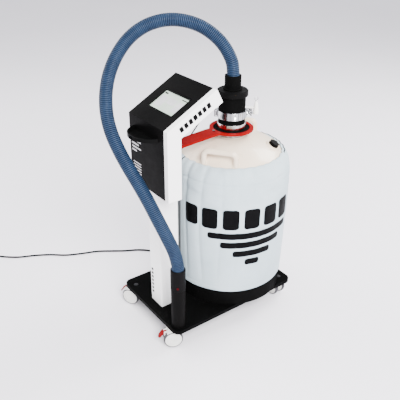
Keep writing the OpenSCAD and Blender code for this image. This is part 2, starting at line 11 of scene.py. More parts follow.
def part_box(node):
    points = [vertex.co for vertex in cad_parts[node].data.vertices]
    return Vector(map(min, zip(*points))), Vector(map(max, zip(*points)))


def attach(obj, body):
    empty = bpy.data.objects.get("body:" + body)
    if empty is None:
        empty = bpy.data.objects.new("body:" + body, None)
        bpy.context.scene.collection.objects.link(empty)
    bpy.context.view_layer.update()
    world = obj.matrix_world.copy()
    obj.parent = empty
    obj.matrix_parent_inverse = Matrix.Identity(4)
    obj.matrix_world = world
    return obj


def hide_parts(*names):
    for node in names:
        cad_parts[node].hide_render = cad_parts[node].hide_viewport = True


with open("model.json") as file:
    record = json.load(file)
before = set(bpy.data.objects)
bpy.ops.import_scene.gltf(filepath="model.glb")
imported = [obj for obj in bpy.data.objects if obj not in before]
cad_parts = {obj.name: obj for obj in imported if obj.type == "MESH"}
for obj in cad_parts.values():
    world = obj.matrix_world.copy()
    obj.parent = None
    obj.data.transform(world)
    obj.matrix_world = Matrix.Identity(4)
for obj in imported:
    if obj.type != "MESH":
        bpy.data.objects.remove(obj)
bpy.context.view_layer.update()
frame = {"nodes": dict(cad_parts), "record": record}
nodes = frame["nodes"]


def centre_of(node):
    """Middle of a CAD node's box."""
    low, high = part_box(node)
    return (low + high) / 2


# Places and sizes that several pieces share, in metres
DEWAR_Y = centre_of("neck_collar").y
HOSE_D = 0.0475
CORD_D = 0.008
CABLE_D = 0.005
CORD_STEP = 0.004  # between the points of the thin cords
SHARP = math.radians(38)  # an edge that turns by more than this stays crisp


# ---- camera ----


def make_camera():
    """The photo's view: place and angles fitted to the plate, the castors and the dewar."""
    place = Vector((1.5601, -1.1983, 1.5683))
    azimuth = math.radians(53.5)
    elevation = math.radians(28.8)
    roll = math.radians(0.5)
    back = Vector(
        (
            math.sin(azimuth) * math.cos(elevation),
            -math.cos(azimuth) * math.cos(elevation),
            math.sin(elevation),
        )
    )
    level = Vector((math.cos(azimuth), math.sin(azimuth), 0))
    above = back.cross(level)
    right = math.cos(roll) * level + math.sin(roll) * above
    up = back.cross(right)
    camera = bpy.data.objects.new("camera", bpy.data.cameras.new("camera"))
    camera.data.lens = 50.82
    camera.data.sensor_width = 36
    turn = Matrix((right, up, back)).transposed().to_4x4()
    camera.matrix_world = Matrix.Translation(place) @ turn
    bpy.context.scene.collection.objects.link(camera)
    bpy.context.scene.camera = camera


make_camera()


# ---- routes of the cords, the same points as in the CAD, in millimetres ----

HOSE_ROUTE = [
    (0, 102, 924), (0, 102, 950), (0, 102, 978), (-6, 96, 1030), (-32, 69, 1091),
    (-71, 25, 1138), (-111, -28, 1163), (-149, -87, 1168), (-182, -147, 1151),
    (-199, -205, 1116), (-197, -258, 1068), (-180, -304, 1013), (-151, -339, 957),
    (-115, -362, 900), (-77, -371, 844), (-37, -367, 788), (4, -357, 735),
    (43, -343, 682), (81, -329, 627), (113, -314, 567), (139, -295, 502),
    (155, -273, 432), (160, -262, 378), (160, -260, 348), (160, -260, 319),
]
CORD_ROUTE = [
    (-72, -168, 130), (-84, -167, 130), (-96, -163, 128), (-120, -151, 123),
    (-146, -131, 116), (-171, -106, 110), (-194, -81, 104), (-214, -59, 93),
    (-230, -41, 71), (-244, -25, 44), (-260, -11, 20), (-282, 1, 7), (-312, 9, 4),
    (-350, 11, 4), (-400, 5, 4), (-448, -11, 4), (-490, -53, 4), (-524, -115, 4),
    (-562, -171, 4), (-598, -227, 4), (-626, -299, 4), (-658, -367, 4), (-704, -425, 4),
    (-742, -489, 4), (-772, -555, 4), (-806, -601, 4), (-842, -637, 4), (-880, -669, 4),
]
LEAD_ROUTE = [(-880, -669, 12), (-894, -681, 13), (-908, -692, 16), (-922, -704, 19)]
CABLE_ROUTE = [
    (-39, 65, 877), (-51, 53, 873), (-60, 35, 854), (-61, 9, 818), (-54, -27, 782),
    (-50, -67, 746), (-38, -107, 716), (-24, -141, 702), (-18, -159, 700),
]
COIL_CENTRE = Vector((-0.849, -0.706, 0))
COIL_TURNS = 3
COIL_POINTS = 72  # in each turn
# Turns between which the coil changes its lane or its layer
COIL_INWARD = (0.66, 0.94)
COIL_UPWARD = (1.36, 1.68)
COIL_OUTWARD = (2.06, 2.36)


def metres(route):
    return [Vector(p) / 1000 for p in route]


def smooth_route(points, steps):
    """Catmull-Rom curve through the points, as in the CAD."""
    found = []
    for i in range(len(points) - 1):
        a = points[max(i - 1, 0)]
        b = points[i]
        c = points[i + 1]
        d = points[min(i + 2, len(points) - 1)]
        for k in range(steps):
            t = k / steps
            found.append(
                0.5
                * (
                    2 * b
                    + (c - a) * t
                    + (2 * a - 5 * b + 4 * c - d) * t * t
                    + (3 * b - a - 3 * c + d) * t**3
                )
            )
    return found + [points[-1]]


def spaced(points, step):
    """The same line with points an even step apart."""
    total = sum((b - a).length for a, b in zip(points, points[1:]))
    count = max(2, round(total / step))
    found = [points[0].copy()]
    walked, target = 0.0, total / count
    for a, b in zip(points, points[1:]):
        length = (b - a).length
        while target <= walked + length + 1e-12 and len(found) < count:
            found.append(a.lerp(b, (target - walked) / length))
            target += total / count
        walked += length
    return found + [points[-1].copy()]


def line_length(points):
    return sum((b - a).length for a, b in zip(points, points[1:]))


# ---- mesh helpers ----


def link(name, data, material, body="cart"):
    """Puts a mesh or curve in the scene as a piece that rides on the body."""
    piece = bpy.data.objects.new(name, data)
    bpy.context.scene.collection.objects.link(piece)
    data.materials.append(material)
    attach(piece, body)
    return piece


def from_bmesh(name, bm, material, body="cart", sharp=SHARP):
    """Smooth piece from a bmesh, with its sharp edges kept."""
    bmesh.ops.recalc_face_normals(bm, faces=bm.faces)
    mesh = bpy.data.meshes.new(name)
    bm.to_mesh(mesh)
    bm.free()
    mesh.polygons.foreach_set("use_smooth", [True] * len(mesh.polygons))
    mesh.set_sharp_from_angle(angle=sharp)
    return link(name, mesh, material, body)


def rounded(corners, steps=4):
    """Outline through (a, b, radius) corners, each one turned into a curve of about its radius."""
    found = []
    count = len(corners)
    for i, (x, y, radius) in enumerate(corners):
        here = Vector((x, y))
        before = Vector(corners[i - 1][:2]) - here
        after = Vector(corners[(i + 1) % count][:2]) - here
        angle = before.angle(after)
        reach = radius / math.tan(angle / 2) if radius else 0
        reach = min(reach, before.length / 2, after.length / 2)
        if reach < 1e-6 or abs(angle - math.pi) < 1e-3:
            found.append(here)
            continue
        start = here + before.normalized() * reach
        end = here + after.normalized() * reach
        for k in range(steps + 1):
            t = k / steps
            found.append(start * (1 - t) ** 2 + here * 2 * t * (1 - t) + end * t * t)
    return found


def lathe(name, corners, place, material, body="cart", segments=96, turn=None, steps=4):
    """Closed profile of (radius, height, corner radius) turned about the local Z axis."""
    outline = rounded(corners, steps)
    bm = bmesh.new()
    rings = []
    for point in outline:
        if point.x < 1e-6:
            rings.append([bm.verts.new((0, 0, point.y))])
            continue
        rings.append(
            [
                bm.verts.new(
                    (
                        point.x * math.cos(2 * math.pi * k / segments),
                        point.x * math.sin(2 * math.pi * k / segments),
                        point.y,
                    )
                )
                for k in range(segments)
            ]
        )
    for a, b in zip(rings, rings[1:] + rings[:1]):
        for k in range(segments):
            n = (k + 1) % segments
            if len(a) == 1 and len(b) == 1:
                continue
            if len(a) == 1:
                bm.faces.new((a[0], b[k], b[n]))
            elif len(b) == 1:
                bm.faces.new((a[k], b[0], a[n]))
            else:
                bm.faces.new((a[k], b[k], b[n], a[n]))
    matrix = Matrix.Translation(place) @ (turn or Matrix.Identity(4))
    bmesh.ops.transform(bm, matrix=matrix, verts=bm.verts)
    return from_bmesh(name, bm, material, body)


def turned(place, direction):
    """Matrix that puts local Z along the direction at the place."""
    turn = Vector(direction).to_track_quat("Z", "X").to_matrix().to_4x4()
    return Matrix.Translation(place) @ turn


def carried_frames(points):
    """Tangent and two side vectors at each point, carried along without twist."""
    found = []
    side = None
    for i, point in enumerate(points):
        tangent = (points[min(i + 1, len(points) - 1)] - points[max(i - 1, 0)]).normalized()
        if side is None:
            side = tangent.orthogonal()
        side = (side - tangent * side.dot(tangent)).normalized()
        found.append((tangent, side.copy(), tangent.cross(side)))
    return found


def tube(name, points, radius_at, sides, material, body="cart"):
    """Closed tube along the points; radius_at(i) is the radius at point i."""
    bm = bmesh.new()
    rings = []
    for i, (point, (_, side, other)) in enumerate(zip(points, carried_frames(points))):
        radius = radius_at(i)
        rings.append(
            [
                bm.verts.new(
                    point
                    + side * radius * math.cos(2 * math.pi * k / sides)
                    + other * radius * math.sin(2 * math.pi * k / sides)
                )
                for k in range(sides)
            ]
        )
    for a, b in zip(rings, rings[1:]):
        for k in range(sides):
            bm.faces.new((a[k], a[(k + 1) % sides], b[(k + 1) % sides], b[k]))
    bm.faces.new(reversed(rings[0]))
    bm.faces.new(rings[-1])
    return from_bmesh(name, bm, material, body)


# ---- materials ----


def srgb(r, g, b):
    """Linear colour from 0 to 255 screen values, by the sRGB standard's formula."""
    return tuple(
        (c / 255 / 12.92 if c <= 10 else ((c / 255 + 0.055) / 1.055) ** 2.4) for c in (r, g, b)
    ) + (1.0,)


class Finish:
    """A procedural material: two mixed shades, uneven roughness and a fine grain.

    light and dark are screen colours, patch is the scale at which they mix, and grain is the
    bump's (scale, depth in metres). stretch below 1 draws all of it out along that axis. fixed
    holds values for the shader's own sockets.
    """

    NOISE_RANGE = (0.3, 0.7)  # where nearly all of a noise's values lie
    ROUGH_SPREAD = 0.15  # share by which the roughness varies

    def __init__(self, name, light, dark, rough, patch, grain=None, stretch=(1, 1, 1), **fixed):
        self.material = bpy.data.materials.new(name)
        self.material.use_nodes = True
        self.tree = self.material.node_tree
        self.shader = self.tree.nodes["Principled BSDF"]
        coordinates = self.add("ShaderNodeTexCoord")
        mapping = self.add("ShaderNodeMapping")
        mapping.inputs["Scale"].default_value = stretch
        self.join(coordinates.outputs["Object"], mapping.inputs["Vector"])
        self.place = mapping.outputs["Vector"]
        mix = self.add("ShaderNodeMix")
        mix.data_type = "RGBA"
        mix.inputs["A"].default_value = srgb(*dark)
        mix.inputs["B"].default_value = srgb(*light)
        self.join(self.spread(self.noise(patch, 5.0, 0.6), 0, 1), mix.inputs["Factor"])
        self.colour = mix.outputs["Result"]
        self.join(self.colour, self.shader.inputs["Base Color"])
        smoothest = rough * (1 - self.ROUGH_SPREAD)
        roughest = min(1, rough * (1 + self.ROUGH_SPREAD))
        uneven = self.spread(self.noise(patch * 4, 6.0, 0.6), smoothest, roughest)
        self.join(uneven, self.shader.inputs["Roughness"])
        self.height = None
        if grain:
            self.bump(self.noise(grain[0], 3.0, 0.5), grain[1])
        for socket, value in fixed.items():
            self.shader.inputs[socket.replace("_", " ")].default_value = value

    def add(self, kind):
        return self.tree.nodes.new(kind)

    def join(self, a, b):
        self.tree.links.new(a, b)

    def noise(self, scale, detail, roughness):
        """Value of a noise in the piece's own space."""
        texture = self.add("ShaderNodeTexNoise")
        texture.inputs["Scale"].default_value = scale
        texture.inputs["Detail"].default_value = detail
        texture.inputs["Roughness"].default_value = roughness
        self.join(self.place, texture.inputs["Vector"])
        return texture.outputs["Fac"]

    def spread(self, value, low, high):
        """Spreads a noise over the range from low to high."""
        node = self.add("ShaderNodeMapRange")
        node.inputs["From Min"].default_value = self.NOISE_RANGE[0]
        node.inputs["From Max"].default_value = self.NOISE_RANGE[1]
        node.inputs["To Min"].default_value = low
        node.inputs["To Max"].default_value = high
        self.join(value, node.inputs["Value"])
        return node.outputs["Result"]

    def bump(self, height, distance):
        """Adds a bump, on top of the one before it where there is one."""
        node = self.add("ShaderNodeBump")
        node.inputs["Distance"].default_value = distance
        node.inputs["Strength"].default_value = 1.0
        self.join(height, node.inputs["Height"])
        if self.height:
            self.join(self.height, node.inputs["Normal"])
        self.height = node.outputs["Normal"]
        self.join(self.height, self.shader.inputs["Normal"])


def weave(finish, pitch, depth):
    """Over-and-under threads of a plain weave, from the piece's UV map in metres."""
    source = finish.add("ShaderNodeUVMap")
    source.uv_map = "UVMap"
    split = finish.add("ShaderNodeSeparateXYZ")
    finish.join(source.outputs["UV"], split.inputs["Vector"])
    waves = []
    for axis in ("X", "Y"):
        turn = finish.add("ShaderNodeMath")
        turn.operation = "MULTIPLY"
        turn.inputs[1].default_value = 2 * math.pi / pitch
        finish.join(split.outputs[axis], turn.inputs[0])
        wave = finish.add("ShaderNodeMath")
        wave.operation = "SINE"
        finish.join(turn.outputs["Value"], wave.inputs[0])
        waves.append(wave.outputs["Value"])
    both = finish.add("ShaderNodeMath")
    both.operation = "MULTIPLY"
    finish.join(waves[0], both.inputs[0])
    finish.join(waves[1], both.inputs[1])
    finish.bump(both.outputs["Value"], depth)


def make_finishes():
    """Every material by its name, which is a material slot of the record.

    Three have no slot of their own: button_red is a darker red_plastic, and the darker copies of
    hose_blue and steel are painted shade for the hose's grooves and the castor stems' recesses.
    """
    made = {}

    def add(name, *args, **settings):
        made[name] = Finish(name, *args, **settings)

    # How much the surface mirrors, from nearly nothing to a little
    dead = {"Specular_IOR_Level": 0.012}
    dull = {"Specular_IOR_Level": 0.025}
    plain = {"Specular_IOR_Level": 0.14}
    metal = {"Metallic": 1.0}
    # Name, light, dark, roughness, patch, grain and, for the metals, stretch; the stretched light
    # and dark streaks on steel and chrome are painted reflections
    add("black_plate", (7, 7, 7), (4, 4, 4), 0.5, 9, (1800, 0.00008), **dead)
    add("black_paint", (9, 8, 8), (6, 6, 6), 0.5, 10, (1500, 0.00005), **dull)
    add("black_gloss", (9, 9, 9), (6, 6, 6), 0.22, 8, (700, 0.00002), **dull)
    add("black_plastic", (12, 11, 12), (8, 8, 8), 0.5, 20, (2200, 0.00010), **dull)
    add("black_rubber", (9, 9, 9), (6, 6, 6), 0.66, 25, (1600, 0.00010), **dead)
    add("white_paint", (255, 253, 252), (250, 248, 247), 0.36, 6, (900, 0.00003))
    add("white_plastic", (246, 243, 238), (236, 233, 228), 0.4, 20, (1200, 0.00003))
    add("castor_white", (222, 221, 216), (206, 205, 200), 0.42, 30, (1400, 0.00004), **plain)
    add("castor_tyre", (74, 73, 76), (52, 51, 54), 0.6, 40, (1400, 0.00008), **plain)
    add("red_plastic", (128, 0, 6), (108, 0, 4), 0.36, 40, (1500, 0.00004), **dull)
    add("red_paint", (132, 0, 4), (112, 0, 3), 0.42, 14, (1100, 0.00003), **dull)
    # Steel and chrome: the dark upright streaks mixed into them are painted reflections
    add("steel", (228, 228, 230), (96, 97, 100), 0.2, 34, (500, 0.00003), (1, 1, 0.05), **metal)
    add("chrome", (240, 236, 232), (58, 56, 58), 0.12, 34, (400, 0.00002), (1, 1, 0.03), **metal)
    # Aluminium painted darker than bare metal: painted shade for the mast's side in the shadow
    # between the column and the jacket
    add("aluminium", (112, 116, 116), (84, 88, 88), 0.42, 14, (600, 0.00004), (14, 14, 1), **metal)
    add("grey_metal", (120, 122, 124), (98, 100, 102), 0.45, 14, (600, 0.00004), Metallic=0.8)
    add("cream_paint", (232, 214, 192), (220, 200, 176), 0.3, 5, (600, 0.00004), Coat_Weight=0.3)
    add("cord_black", (18, 17, 19), (11, 11, 12), 0.55, 60, (1800, 0.00006), **dull)
    add("circuit_board", (30, 92, 56), (20, 66, 40), 0.5, 60, (900, 0.00010))
    add("print_black", (9, 9, 10), (5, 5, 6), 0.5, 20, (1200, 0.00006), **dull)
    add("print_white", (208, 206, 208), (182, 181, 184), 0.42, 20, (1200, 0.00005))
    add("hose_blue", (36, 54, 78), (24, 40, 62), 0.4, 22, (900, 0.00012), **plain)
    # The hose's blue painted darker: painted shade for the hollows between the ribs
    add("hose_groove_painted_shade", (12, 22, 38), (8, 16, 30), 0.5, 22, (900, 0.00012), **dull)
    # Castor stems: steel painted dark, painted shade for their recesses in the plate
    add("steel_painted_shade", (44, 44, 46), (28, 28, 30), 0.45, 30, (900, 0.00004), **plain)
    add("button_red", (62, 2, 8), (48, 1, 6), 0.45, 40, (1500, 0.00004), **dull)
    add("screen", (186, 198, 184), (172, 186, 172), 0.2, 12, Coat_Weight=0.2)
    glow = made["screen"]
    glow.join(glow.colour, glow.shader.inputs["Emission Color"])
    glow.shader.inputs["Emission Strength"].default_value = 0.25
    add("jacket_fabric", (192, 206, 212), (172, 188, 195), 0.6, 5, (260, 0.0005), **plain)
    weave(made["jacket_fabric"], 0.0011, 0.00012)
    return {name: finish.material for name, finish in made.items()}


finish_of = make_finishes()


# ---- cords ----


def make_hose():
    """Corrugated hose: evenly spaced round ribs along the whole route, with painted shade in the
    grooves.
    """
    rib = 0.0065
    rings_per_rib = 6
    painted_shade_rings = (2, 3)
    depth = 0.0017
    fullness = 0.7
    sides = 40
    points = spaced(smooth_route(metres(HOSE_ROUTE), 12), rib / rings_per_rib)

    def radius_at(i):
        phase = abs(math.cos(math.pi * i / rings_per_rib))
        return HOSE_D / 2 - depth * (1 - phase**fullness)

    hose = tube("hose_tube", points, radius_at, sides, finish_of["hose_blue"])
    hose.data.materials.append(finish_of["hose_groove_painted_shade"])
    for face in hose.data.polygons:
        on_wall = len(face.vertices) == 4
        ring = face.index // sides
        # Rings in the grooves get the darker blue: painted shade
        if on_wall and ring % rings_per_rib in painted_shade_rings:
            face.material_index = 1
    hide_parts("hose")


def coil_points():
    """Turns in two lanes and two layers, from the end of the cord's run to the plug's lead."""
    start = metres(CORD_ROUTE)[-1] - COIL_CENTRE
    first_angle = math.atan2(start.y, start.x)
    outer = math.hypot(start.x, start.y)
    inner = outer - CORD_D
    low, high = CORD_D / 2, CORD_D * 1.5

    def step(t, a, b):
        u = min(1, max(0, (t - a) / (b - a)))
        return u * u * (3 - 2 * u)

    found = []
    count = COIL_TURNS * COIL_POINTS
    for i in range(1, count):
        t = COIL_TURNS * i / count
        radius = outer + (inner - outer) * (step(t, *COIL_INWARD) - step(t, *COIL_OUTWARD))
        angle = first_angle + 2 * math.pi * t
        height = low + (high - low) * step(t, *COIL_UPWARD)
        place = Vector((radius * math.cos(angle), radius * math.sin(angle), height))
        found.append(COIL_CENTRE + place)
    return found


def spline(name, points, radius, material):
    """Round curve with closed ends through the points."""
    curve = bpy.data.curves.new(name, "CURVE")
    curve.dimensions = "3D"
    curve.bevel_depth = radius
    curve.bevel_resolution = 5
    curve.use_fill_caps = True
    line = curve.splines.new("POLY")
    line.points.add(len(points) - 1)
    for target, point in zip(line.points, points):
        target.co = (*point, 1)
    line.use_smooth = True
    return link(name, curve, material)


def make_plug():
    """Round two-pin plug with a ribbed, tapered strain relief."""
    end = metres(LEAD_ROUTE)[-1]
    turn = Matrix.Rotation(math.radians(220), 4, "Z") @ Matrix.Rotation(math.radians(90), 4, "Y")
    groove = 0.0012
    profile = [(0, 0, 0), (0.0052, 0, 0.0005)]
    for k in range(5):
        z = 0.0012 + 0.0025 * k
        r = 0.0056 + 0.0010 * k
        profile += [(r, z, 0.0004), (r, z + 0.0014, 0.0004)]
        profile += [(r - groove, z + 0.0015, 0.0002), (r - groove, z + 0.0024, 0.0002)]
    profile += [(0.0118, 0.0138, 0.001), (0.0176, 0.0142, 0.002), (0.0185, 0.020, 0.003)]
    profile += [(0.0185, 0.036, 0.002), (0.0168, 0.040, 0.001), (0, 0.040, 0)]
    body = lathe("plug_body", profile, end, finish_of["black_plastic"], turn=turn, segments=64)
    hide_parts("mains_plug")
    pins = []
    profile = [(0, 0, 0), (0.0024, 0, 0), (0.0024, 0.0195, 0.001), (0, 0.0195, 0)]
    for letter, side in (("a", -1), ("b", 1)):
        place = end + turn @ Vector((0, side * 0.0095, 0.0395))
        name = f"plug_pin_{letter}"
        pin = lathe(name, profile, place, finish_of["steel"], turn=turn, segments=32)
        pins.append(pin)
    return [body, *pins]


def make_mains_cord():
    """The whole cord in one line: its run over the floor, the coil and the plug's lead."""
    run = smooth_route(metres(CORD_ROUTE), 6)
    lead = smooth_route(metres(LEAD_ROUTE), 6)
    points = spaced(run + coil_points() + lead, CORD_STEP)
    cord = spline("mains_cord_line", points, CORD_D / 2, finish_of["cord_black"])
    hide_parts("mains_cord", "cord_coil")
    make_plug()


def make_gland():
    """Screwed gland with a ribbed, tapered bend relief, pointing to -X."""
    place = Vector((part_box("cord_gland")[1].x, *centre_of("cord_gland").yz))
    turn = Matrix.Rotation(math.radians(-90), 4, "Y")
    groove = 0.0011
    profile = [(0, 0, 0), (0.007, 0, 0.0004), (0.007, 0.0078, 0.001)]
    for k in range(9):
        z = 0.0088 + 0.0032 * k
        r = 0.0066 - 0.00015 * k
        profile += [(r - groove, z - 0.0008, 0.0003), (r, z - 0.0004, 0.0003)]
        profile += [(r, z + 0.0014, 0.0003), (r - groove, z + 0.0018, 0.0003)]
    profile += [(0.0049, 0.038, 0.0005), (0, 0.038, 0)]
    black = finish_of["black_plastic"]
    gland = lathe("gland_relief", profile, place, black, turn=turn, segments=48)
    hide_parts("cord_gland")


def make_sensor_cable():
    """Thin cable from the neck coupling down to the mast."""
    points = spaced(smooth_route(metres(CABLE_ROUTE), 10), CORD_STEP)
    cable = spline("sensor_cable_line", points, CABLE_D / 2, finish_of["cord_black"])
    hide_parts("sensor_cable")


make_hose()
make_mains_cord()
make_gland()
make_sensor_cable()


# ---- CAD nodes that keep their shape ----


def dress(node, finish, bevel):
    """Gives a CAD node its finish, and its sharp edges a small round where bevel is not 0."""
    piece = nodes[node]
    piece.material_slots[0].material = finish_of[finish]
    if not bevel:
        return
    mesh = piece.data
    mesh.polygons.foreach_set("use_smooth", [True] * len(mesh.polygons))
    for name in ("custom_normal", "sharp_edge"):
        if name in mesh.attributes:
            mesh.attributes.remove(mesh.attributes[name])
    weld = piece.modifiers.new("weld", "WELD")
    weld.merge_threshold = 0.000002
    edge = piece.modifiers.new("edge", "BEVEL")
    edge.width = bevel
    edge.segments = 2
    edge.limit_method = "ANGLE"
    edge.angle_limit = math.radians(32)
    even = piece.modifiers.new("even", "WEIGHTED_NORMAL")
    even.keep_sharp = True
    even.weight = 100


# Finish and width of the edge's round, by node
NODE_FINISHES = [
    ("base_plate", "black_plate", 0),
    ("plate_screws", "steel", 0),
    # castor stems: steel painted dark as painted shade in their recesses
    ("castor_stems", "steel_painted_shade", 0),
    ("castor_front_left", "castor_white", 0.0012),
    ("castor_front_right", "castor_white", 0.0012),
    ("castor_rear_left", "castor_white", 0.0012),
    ("castor_rear_right", "castor_white", 0.0012),
    ("pedal_front_left", "red_plastic", 0.0012),
    ("pedal_front_right", "red_plastic", 0.0012),
    ("foot_tub", "black_rubber", 0.001),
    # mast: aluminium painted dark, painted shade in the gap beside the jacket
    ("mast", "aluminium", 0.0006),
    ("column_cover", "white_paint", 0.0008),
    ("power_supply", "grey_metal", 0.001),
    ("head_shell", "black_paint", 0.0016),
    ("side_panel", "white_paint", 0.0014),
    ("screen_frame", "black_gloss", 0.0012),
    ("touch_screen", "screen", 0),
    ("control_board", "circuit_board", 0),
    ("tray", "black_gloss", 0.0008),
    ("yoke", "red_paint", 0.001),
    ("yoke_grommet", "black_rubber", 0.001),
    ("yoke_screws", "steel", 0.0004),
    ("dewar_shell", "cream_paint", 0),
    ("inner_vessel", "aluminium", 0),
    ("neck_tube", "steel", 0),
    ("neck_collar", "chrome", 0.0012),
    ("handles", "cream_paint", 0),
    ("port_boss", "cream_paint", 0.0015),
    ("port_cap", "black_plastic", 0.001),
    ("coupling_seal", "black_rubber", 0.001),
    ("clamp_front", "steel", 0.0006),
    ("clamp_rear", "steel", 0.0006),
    ("clamp_hinge_pin", "grey_metal", 0),
    ("swing_pin", "steel", 0),
    ("swing_bolt", "steel", 0),
    ("wing_nut", "steel", 0.0006),
    ("coupling_body", "black_rubber", 0.0008),
    ("coupling_cap", "black_plastic", 0.0008),
    ("hose_cuff", "black_rubber", 0.001),
    ("riser_tube", "steel", 0),
    ("relief_valve", "white_plastic", 0.0006),
    ("relief_ring", "steel", 0),
    ("applicator_grip", "black_plastic", 0.0008),
    ("applicator_nozzle", "black_plastic", 0),
    ("release_button", "button_red", 0.0008),
    ("holder_tube", "black_paint", 0.0008),
]

for node, finish, bevel in NODE_FINISHES:
    dress(node, finish, bevel)


# ---- castor wheels ----


def make_wheels():
    """Two discs with grey treads on each castor's axle.

    The profiles are (radius, distance from the castor's middle, corner radius).
    """
    axes = {j["name"]: j["axis"] for j in frame["record"]["behaviour"]["joints"]}
    disc = [(0, 0.0116, 0), (0.0330, 0.0116, 0.0008), (0.0330, 0.0264, 0.0008)]
    disc += [(0.0272, 0.0269, 0.0004), (0.0268, 0.0255, 0.0003), (0.0250, 0.0255, 0.0003)]
    disc += [(0.0246, 0.0271, 0.0005), (0.0120, 0.0275, 0.0008), (0.0112, 0.0262, 0.0004)]
    disc += [(0.0094, 0.0262, 0.0004), (0.0090, 0.0275, 0.0006), (0.0034, 0.0275, 0.0004)]
    disc += [(0.0030, 0.0260, 0.0003), (0, 0.0260, 0)]
    tread = [(0.0326, 0.0120, 0.0003), (0.0362, 0.0118, 0.0012), (0.0375, 0.0150, 0.0025)]
    tread += [(0.0375, 0.0228, 0.0030), (0.0352, 0.0268, 0.0016), (0.0326, 0.0266, 0.0003)]
    for end in ("front", "rear"):
        for side in ("left", "right"):
            where = f"{end}_{side}"
            pair = f"wheels_{where}"  # the name of the CAD node and of its body
            centre = centre_of(pair)
            axis = Vector(axes[f"wheel_spin_{where}"])
            for letter, way in (("a", 1), ("b", -1)):
                turn = turned((0, 0, 0), axis * way)
                for part, profile, finish, steps in (
                    ("disc", disc, "castor_white", 2),
                    ("tread", tread, "castor_tyre", 4),
                ):
                    name = f"wheel_{part}_{where}_{letter}"
                    piece = lathe(
                        name, profile, centre, finish_of[finish], pair, turn=turn, steps=steps
                    )
                if way > 0:
                    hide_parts(pair)


make_wheels()


# ---- the jacket ----

JACKET_LOW, JACKET_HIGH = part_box("jacket")
JACKET_R = (JACKET_HIGH.x - JACKET_LOW.x) / 2
JACKET_H = JACKET_HIGH.z - JACKET_LOW.z
# Share of the height against share of the widest radius, from the hem to the rim
JACKET_PROFILE = [
    (0, 0.972), (0.258, 0.987), (0.598, 1), (0.8, 1), (0.866, 0.996), (0.915, 0.98),
    (0.952, 0.957), (0.98, 0.921), (0.995, 0.884), (1, 0.852),
]
# Heights as shares of the jacket's own, and the hem seam's height in metres
CREASES_UP = 0.80
SEAM_UP = 0.894
GATHERS_UP = 0.93
HEM_SEAM_Z = 0.021
FOLDS_AT = -82  # degrees round the dewar at which the upright folds are deepest
FOLDS = 11
GATHERS = 34
JACKET_COLUMNS = 420


def jacket_arc():
    """The profile as evenly spaced points (radius, height) along its length."""
    line = [Vector((JACKET_R * r, JACKET_LOW.z + JACKET_H * z, 0)) for z, r in JACKET_PROFILE]
    return spaced(smooth_route(line, 16), 0.0035)


JACKET_LINE = jacket_arc()


def fade(distance, reach):
    """1 at no distance, and soon 0 beyond the reach."""
    return math.exp(-((distance / reach) ** 2))


def jacket_depth(theta, z):
    """How far the cloth sits inside its plain shape: folds, gathers and sewn seams."""
    turn = Vector((math.cos(theta), math.sin(theta), 0))
    above_hem = z - JACKET_LOW.z
    up = above_hem / JACKET_H
    # Slow unevenness all over
    at = turn * 2.2 + Vector((0, 0, z * 3.2))
    depth = 0.0030 * (0.5 + 0.5 * noise.noise(at))
    # Long upright folds, strongest on the left of the front
    front = fade((math.degrees(theta) - FOLDS_AT + 180) % 360 - 180, 26)
    warp = 0.7 * noise.noise(turn * 1.6 + Vector((4, 0, z * 2.4)))
    fold = abs(math.sin(FOLDS * theta + 2.2 * warp))
    depth += (0.0012 + 0.0046 * front) * (1 - fold) ** 2 * min(1, up * 5)
    # Slack creases that run across under the rim
    crease = noise.noise(Vector((turn.x * 2.6, turn.y * 2.6, z * 34 + theta)))
    depth += 0.0050 * max(0, crease) * fade(up - CREASES_UP, 0.14)
    # Gathers pulled in over the shoulder
    gather = 0.5 + 0.5 * math.sin(GATHERS * theta + 3 * noise.noise(turn * 5))
    depth += 0.0042 * gather * max(0, (up - GATHERS_UP) / 0.07) ** 1.2
    # Seam below the rim, and the double hem
    depth += 0.0022 * fade(above_hem - SEAM_UP * JACKET_H, 0.0026)
    depth += 0.0016 * fade(above_hem - HEM_SEAM_Z, 0.0020)
    return depth


def on_jacket(theta, radius, z, lift):
    """Point on the cloth at an angle and a height, lift outside its surface."""
    reach = radius - jacket_depth(theta, z) + lift
    return Vector((reach * math.cos(theta), DEWAR_Y + reach * math.sin(theta), z))


def radius_at_height(z):
    """The plain jacket's radius at a height."""
    for a, b in zip(JACKET_LINE, JACKET_LINE[1:]):
        if a.y <= z <= b.y:
            return a.x + (b.x - a.x) * (z - a.y) / (b.y - a.y)
    return JACKET_LINE[-1].x


def make_jacket():
    """Fitted cover: one sewn tube of coated cloth over the padding, drawn in over the shoulder."""
    columns = JACKET_COLUMNS
    bm = bmesh.new()
    place = bm.loops.layers.uv.new("UVMap")
    rows = [
        [bm.verts.new(on_jacket(2 * math.pi * k / columns, p.x, p.y, 0)) for k in range(columns)]
        for p in JACKET_LINE
    ]
    step = line_length(JACKET_LINE) / (len(JACKET_LINE) - 1)
    for j in range(len(rows) - 1):
        for k in range(columns):
            n = (k + 1) % columns
            face = bm.faces.new((rows[j][k], rows[j][n], rows[j + 1][n], rows[j + 1][k]))
            corners = ((k, j), (k + 1, j), (k + 1, j + 1), (k, j + 1))
            for loop, (u, v) in zip(face.loops, corners):
                loop[place].uv = (2 * math.pi * JACKET_R * u / columns, step * v)
    cloth = finish_of["jacket_fabric"]
    jacket = from_bmesh("jacket_cover", bm, cloth, sharp=math.radians(80))
    thick = jacket.modifiers.new("cloth", "SOLIDIFY")
    thick.thickness = 0.0025
    thick.offset = -1
    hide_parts("jacket")


